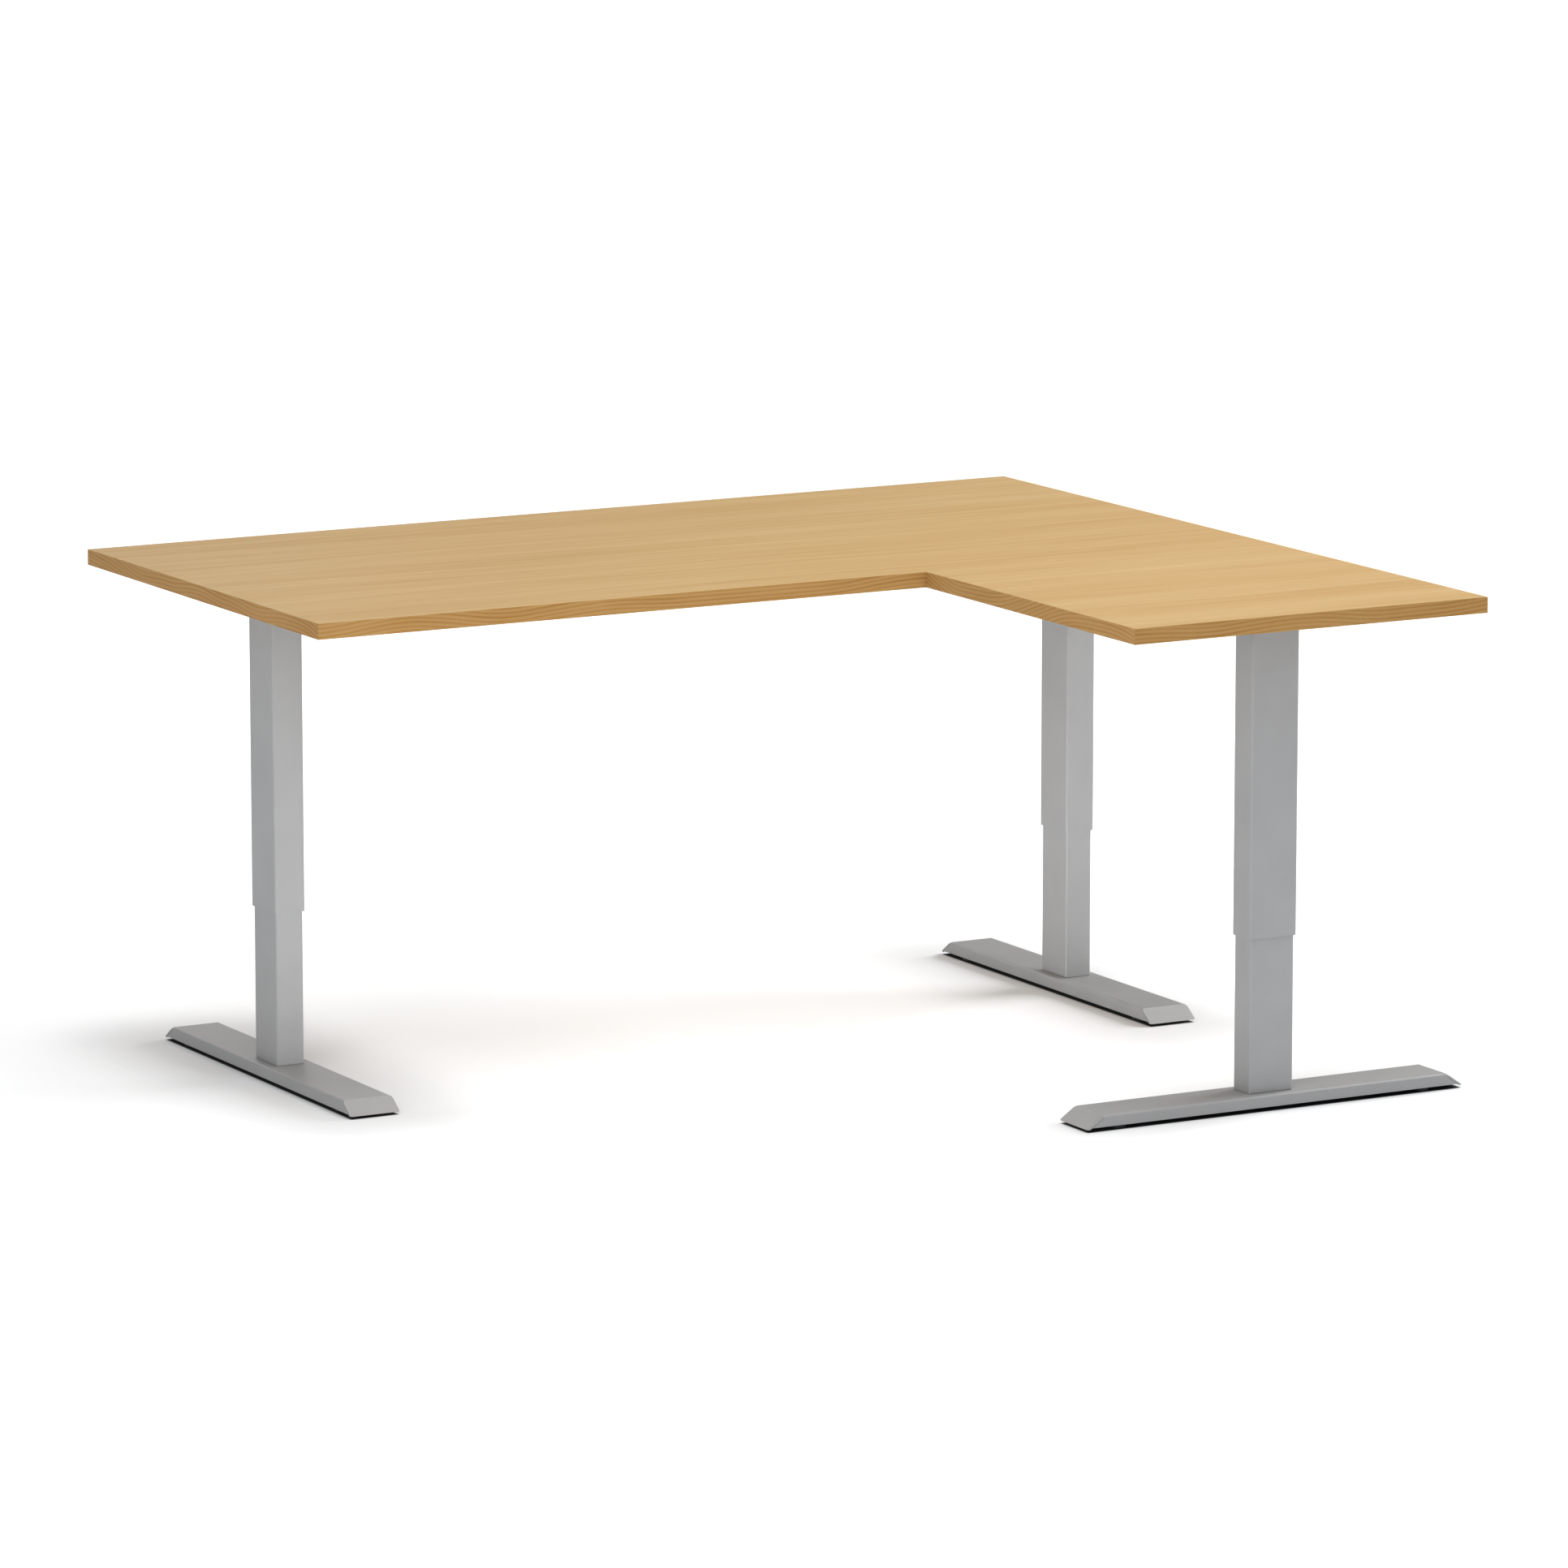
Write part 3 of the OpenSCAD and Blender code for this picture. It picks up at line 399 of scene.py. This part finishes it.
def soften(node, width):
    """Rounds a CAD node's sharp edges by a small width with modifiers."""
    weld = node.modifiers.new("weld", "WELD")
    weld.merge_threshold = WELD_GAP
    bevel = node.modifiers.new("edges", "BEVEL")
    bevel.width = width
    bevel.segments = 2
    bevel.limit_method = "ANGLE"
    bevel.angle_limit = math.radians(SHARP_ANGLE)
    bevel.use_clamp_overlap = True
    smooth = node.modifiers.new("shading", "WEIGHTED_NORMAL")
    smooth.weight = 100


def kind_of(name):
    """A node's name without its leg: foot_left gives foot."""
    for leg in LEGS:
        name = name.removesuffix("_" + leg)
    return name


def paint(node):
    slot = SLOT_OF[kind_of(node.name)]
    node.data.materials.clear()
    node.data.materials.append(MATERIALS[slot])


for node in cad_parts.values():
    paint(node)
    if kind_of(node.name) in SOFTENED:
        soften(node, SOFTENED[kind_of(node.name)] * MM)


# ---- Button arrows ----

# Half of an arrow's base, half of its height, how far it stands out, and its rounding
ARROW_HALF = 2.6 * MM
ARROW_RISE = 1.9 * MM
ARROW_PROUD = 0.3 * MM
ARROW_ROUNDING = 0.12 * MM


def prism(name, outline, depth, rounding):
    """A bar with the outline in X and Z that runs back along Y, its edges rounded."""
    mesh = bpy.data.meshes.new(name)
    form = bmesh.new()
    front = form.faces.new([form.verts.new((x, 0, z)) for x, z in outline])
    back = bmesh.ops.extrude_face_region(form, geom=[front])
    moved = [item for item in back["geom"] if isinstance(item, bmesh.types.BMVert)]
    bmesh.ops.translate(form, verts=moved, vec=(0, depth, 0))
    bmesh.ops.bevel(form, geom=form.edges[:], offset=rounding, segments=3, affect="EDGES")
    bmesh.ops.recalc_face_normals(form, faces=form.faces[:])
    form.to_mesh(mesh)
    form.free()
    piece = bpy.data.objects.new(name, mesh)
    bpy.context.scene.collection.objects.link(piece)
    return piece


def arrow(button, turn):
    """Raised triangle on a button's face, pointing up for turn 1 and down for turn -1."""
    low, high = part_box(button)
    tip = ARROW_RISE * turn
    outline = [(-ARROW_HALF, -tip), (ARROW_HALF, -tip), (0, tip)]
    # Half of its depth is sunk in the button
    piece = prism(button + "_arrow", outline, 2 * ARROW_PROUD, ARROW_ROUNDING)
    middle_x, middle_z = (low[0] + high[0]) / 2, (low[2] + high[2]) / 2
    piece.location = (middle_x, low[1] - ARROW_PROUD, middle_z)
    piece.data.materials.append(MATERIALS["black_plastic"])
    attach(piece, button)


arrow("up_button", 1)
arrow("down_button", -1)


# ---- Floor, light and camera ----

# Half of the floor's side in metres, and the floor's darkest and palest colours
FLOOR_HALF = 60
FLOOR_TONES = [(0, (0.785, 0.80, 0.82)), (1, (0.805, 0.82, 0.84))]
# Painted shadow: a dark patch on the floor under each foot, standing in for the shade in the
# gap:
# its colour, its inset from the foot's outline, and the distance over which it fades
PAINTED_SHADOW_COLOUR = (0.06, 0.06, 0.06)
PAINTED_SHADOW_INSET = 4 * MM
PAINTED_SHADOW_FADE = 5 * MM
# Glow of the floor by the distance from a foot and from the worktop: where it starts, where
# it is full, both in metres, and its full strength
NEAR_GLOW = (PAINTED_SHADOW_FADE, 0.24, 0.28)
FAR_GLOW = (1.2, 4.7, 0.55)
# Further than any point of the floor is from a foot
FAR = 1000.0


def plan_distance(finish, name, inset=0.0):
    """Distance over the floor from a node's box drawn in by an inset, 0 under it."""
    low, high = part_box(name)
    squares = []
    for value, start, end in zip(finish.split(finish.place), low, high[:2]):
        reach = (end - start) / 2 - inset
        offset = finish.math("ABSOLUTE", finish.math("SUBTRACT", value, (start + end) / 2))
        past = finish.math("MAXIMUM", finish.math("SUBTRACT", offset, reach), 0.0)
        squares.append(finish.math("POWER", past, 2.0))
    return finish.math("SQRT", finish.math("ADD", *squares))


def see_through_below(finish):
    """Makes a material clear from behind, so that views from under the floor show the desk."""
    facing = finish.tree.nodes.new("ShaderNodeNewGeometry")
    clear = finish.tree.nodes.new("ShaderNodeBsdfTransparent")
    sides = finish.tree.nodes.new("ShaderNodeMixShader")
    output = finish.tree.nodes["Material Output"]
    finish.link(facing.outputs["Backfacing"], sides.inputs["Fac"])
    finish.link(finish.shader.outputs["BSDF"], sides.inputs[1])
    finish.link(clear.outputs["BSDF"], sides.inputs[2])
    finish.link(sides.outputs["Shader"], output.inputs["Surface"])


def floor_finish():
    """Pale matt floor with a painted shadow under each foot, glowing to white away from the
    desk.
    """
    finish = Finish("floor")
    pale = finish.ramp(finish.noise(finish.place, scale=3, detail=3), FLOOR_TONES)
    from_foot = FAR
    for leg in LEGS:
        distance = plan_distance(finish, "foot_" + leg, PAINTED_SHADOW_INSET)
        from_foot = finish.math("MINIMUM", from_foot, distance)
    from_desk = plan_distance(finish, "worktop")
    glows = []
    for distance, (start, end, strength) in ((from_foot, NEAR_GLOW), (from_desk, FAR_GLOW)):
        glows.append(finish.span(distance, (start, end), (0.0, strength)))
    # Painted shadow: 0 under each foot, where the floor's colour is made dark in place of the
    # shade in the gap, and 1 beyond
    outside_painted_shadow = finish.span(from_foot, (0.0, PAINTED_SHADOW_FADE), (0.0, 1.0))
    finish.set(
        base_color=finish.blend(outside_painted_shadow, PAINTED_SHADOW_COLOUR, pale),
        roughness=0.9,
        specular_ior_level=0.0,
        emission_color=(1, 1, 1),
        emission_strength=finish.math("ADD", *glows),
    )
    see_through_below(finish)
    return finish.material


def floor():
    """Plain pale floor that runs out past the view."""
    mesh = bpy.data.meshes.new("floor")
    sheet = bmesh.new()
    corners = []
    for x, y in ((-1, -1), (1, -1), (1, 1), (-1, 1)):
        corners.append(sheet.verts.new((x * FLOOR_HALF, y * FLOOR_HALF, 0)))
    sheet.faces.new(corners)
    sheet.to_mesh(mesh)
    sheet.free()
    piece = bpy.data.objects.new("floor", mesh)
    bpy.context.scene.collection.objects.link(piece)
    mesh.materials.append(floor_finish())


# Strength of the sky's light, and of the sky as the camera sees it
SKY_LIGHT = 0.35
SKY_SEEN = 1.0
# Soft lights: place, point aimed at, side in metres, power in watts, spread in degrees
LIGHTS = {
    "top": ((0, 0, 4), (0, 0, 0), 4, 56, 180),
    "right": ((4, 0, 2), (0, 0, 0.4), 2.5, 180, 180),
    "front_left": ((-3, -3, 2.5), (0, 0, 0.4), 2.5, 60, 180),
    "low_left": ((-3.6, -1.8, 1.0), (0, 0, 0.4), 1.5, 14, 180),
    "back": ((0, 4, 2.5), (0, 0, 0.4), 3, 36, 180),
    "knee_left": ((-0.35, -0.95, 0.16), (-0.69, 0.3, 0.25), 0.3, 0.3, 50),
    "knee_right": ((-0.3, -0.8, 0.16), (0.67, 0.3, 0.25), 0.3, 0.65, 50),
    "front_top": ((0.2, -1.0, 2.8), (0.2, -0.3, 0.4), 1.2, 26, 180),
}
# Camera, fitted to the photograph: angles in degrees, place in metres, lens in millimetres
CAMERA_AZIMUTH = 28.780
CAMERA_ELEVATION = 10.290
CAMERA_PLACE = (-6.0604, -11.0385, 2.7165)
CAMERA_LENS = 197.18
CAMERA_SENSOR = 36
CAMERA_REACH = 200


def soft_light(name, place, aim, size, energy, spread):
    """Square soft light at a place, turned to shine at aim."""
    data = bpy.data.lights.new(name, "AREA")
    data.shape = "SQUARE"
    data.size = size
    data.energy = energy
    data.spread = math.radians(spread)
    light = bpy.data.objects.new(name, data)
    light.location = place
    light.rotation_euler = (Vector(aim) - Vector(place)).to_track_quat("-Z", "Y").to_euler()
    light.visible_camera = False
    bpy.context.scene.collection.objects.link(light)


def sky():
    """White sky that gives a weaker light than the camera sees."""
    world = bpy.data.worlds.new("studio")
    world.use_nodes = True
    tree = world.node_tree
    background = tree.nodes["Background"]
    background.inputs["Color"].default_value = (1, 1, 1, 1)
    ray = tree.nodes.new("ShaderNodeLightPath")
    strength = tree.nodes.new("ShaderNodeMapRange")
    strength.inputs["To Min"].default_value = SKY_LIGHT
    strength.inputs["To Max"].default_value = SKY_SEEN
    tree.links.new(ray.outputs["Is Camera Ray"], strength.inputs["Value"])
    tree.links.new(strength.outputs["Result"], background.inputs["Strength"])
    bpy.context.scene.world = world


def camera():
    """Long lens from the front left, a little above the desk."""
    data = bpy.data.cameras.new("camera")
    data.sensor_width = CAMERA_SENSOR
    data.lens = CAMERA_LENS
    data.clip_end = CAMERA_REACH
    view = bpy.data.objects.new("camera", data)
    view.location = CAMERA_PLACE
    tilt = math.pi / 2 - math.radians(CAMERA_ELEVATION)
    view.rotation_euler = (tilt, 0, -math.radians(CAMERA_AZIMUTH))
    bpy.context.scene.collection.objects.link(view)
    bpy.context.scene.camera = view


floor()
sky()
for light, settings in LIGHTS.items():
    soft_light(light, *settings)
camera()
bpy.context.scene.view_settings.view_transform = "Standard"
